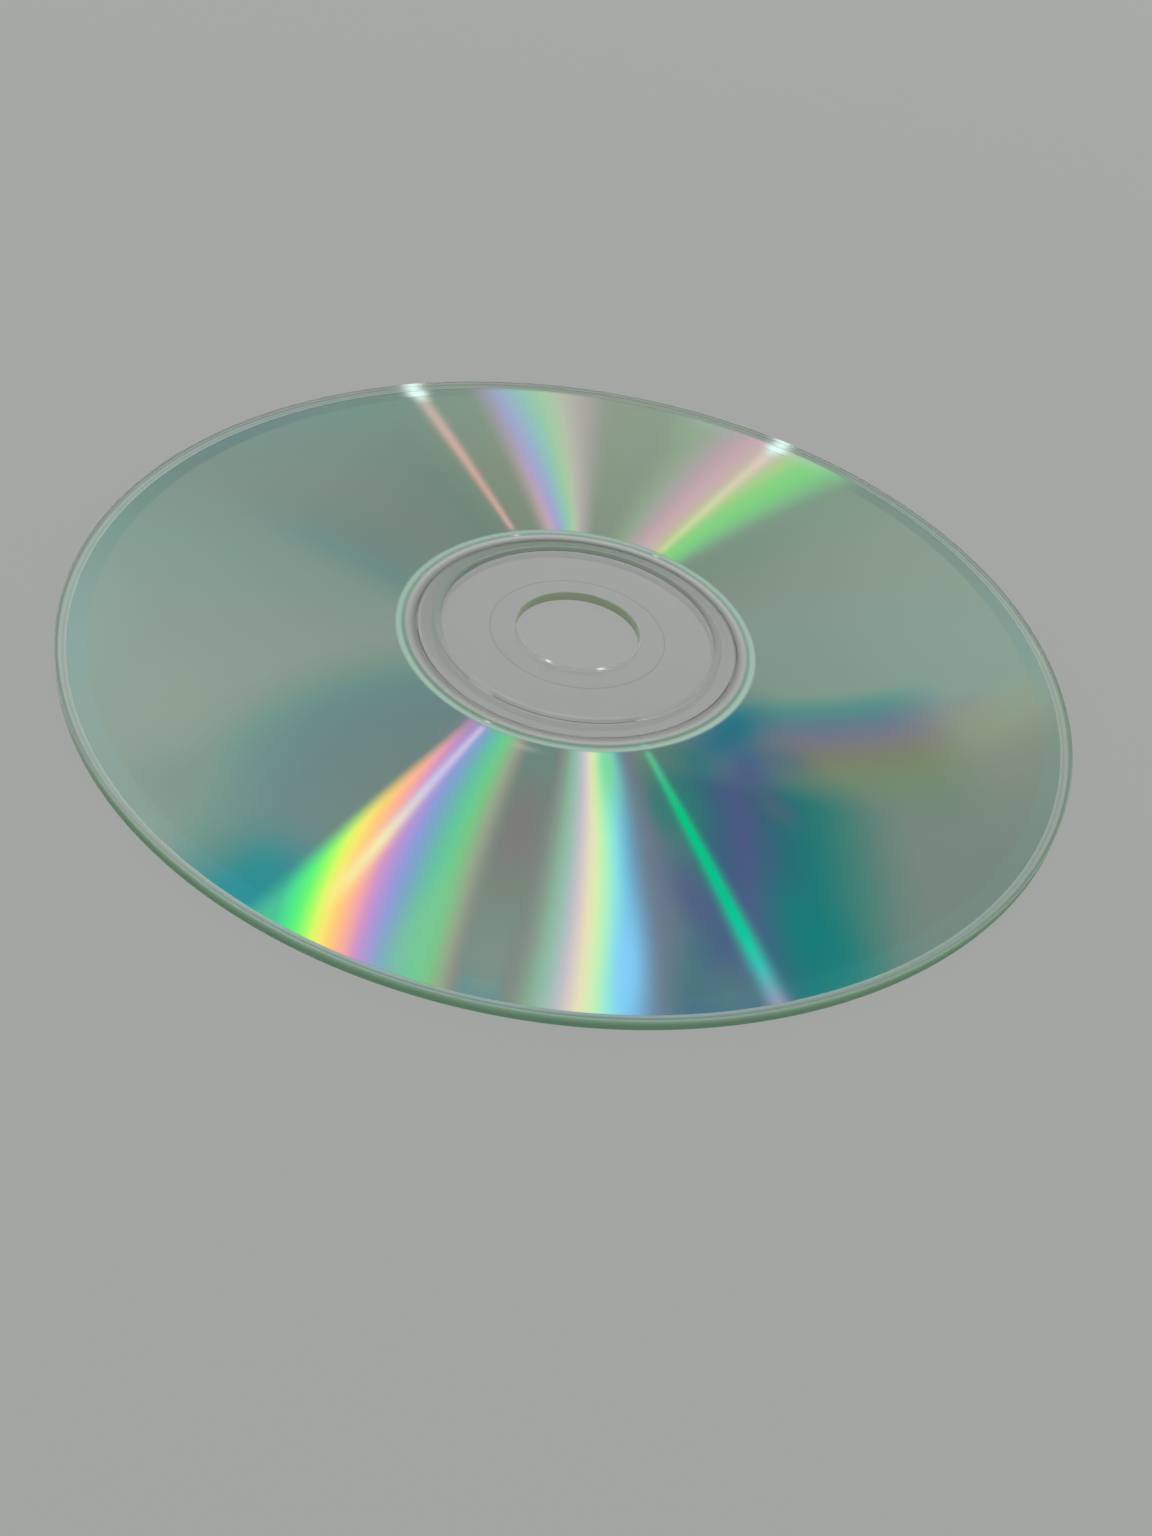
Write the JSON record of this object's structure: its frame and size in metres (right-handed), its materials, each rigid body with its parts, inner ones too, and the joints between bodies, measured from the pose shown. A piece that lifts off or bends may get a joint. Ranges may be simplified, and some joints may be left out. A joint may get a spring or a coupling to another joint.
{
  "type": "compact disc",
  "caption": "Flat round clear plastic disc with a central spindle bore, a raised stacking ring and a mirror-like greenish recording film seen through it.",
  "frame": {"origin": "centre of the disc, in the plane of the film's underside, on which the disc lies", "axes": "+Z along the bore's axis, out of the data side; X and Y in the plane of the disc, with no direction preferred"},
  "size_m": [0.12, 0.12, 0.0015],
  "materials": {
    "clear_plastic": "clear, polished by the mould, faintly green where it is looked through lengthwise",
    "dyed_mirror": "grey-green dyed mirror with fine concentric tracks that show rainbow fans; bare silver at its inner edge; satin lacquer underneath"
  },
  "bodies": {
    "root": {"clear_substrate": "clear_plastic", "recording_film": "dyed_mirror"}
  },
  "joints": []
}
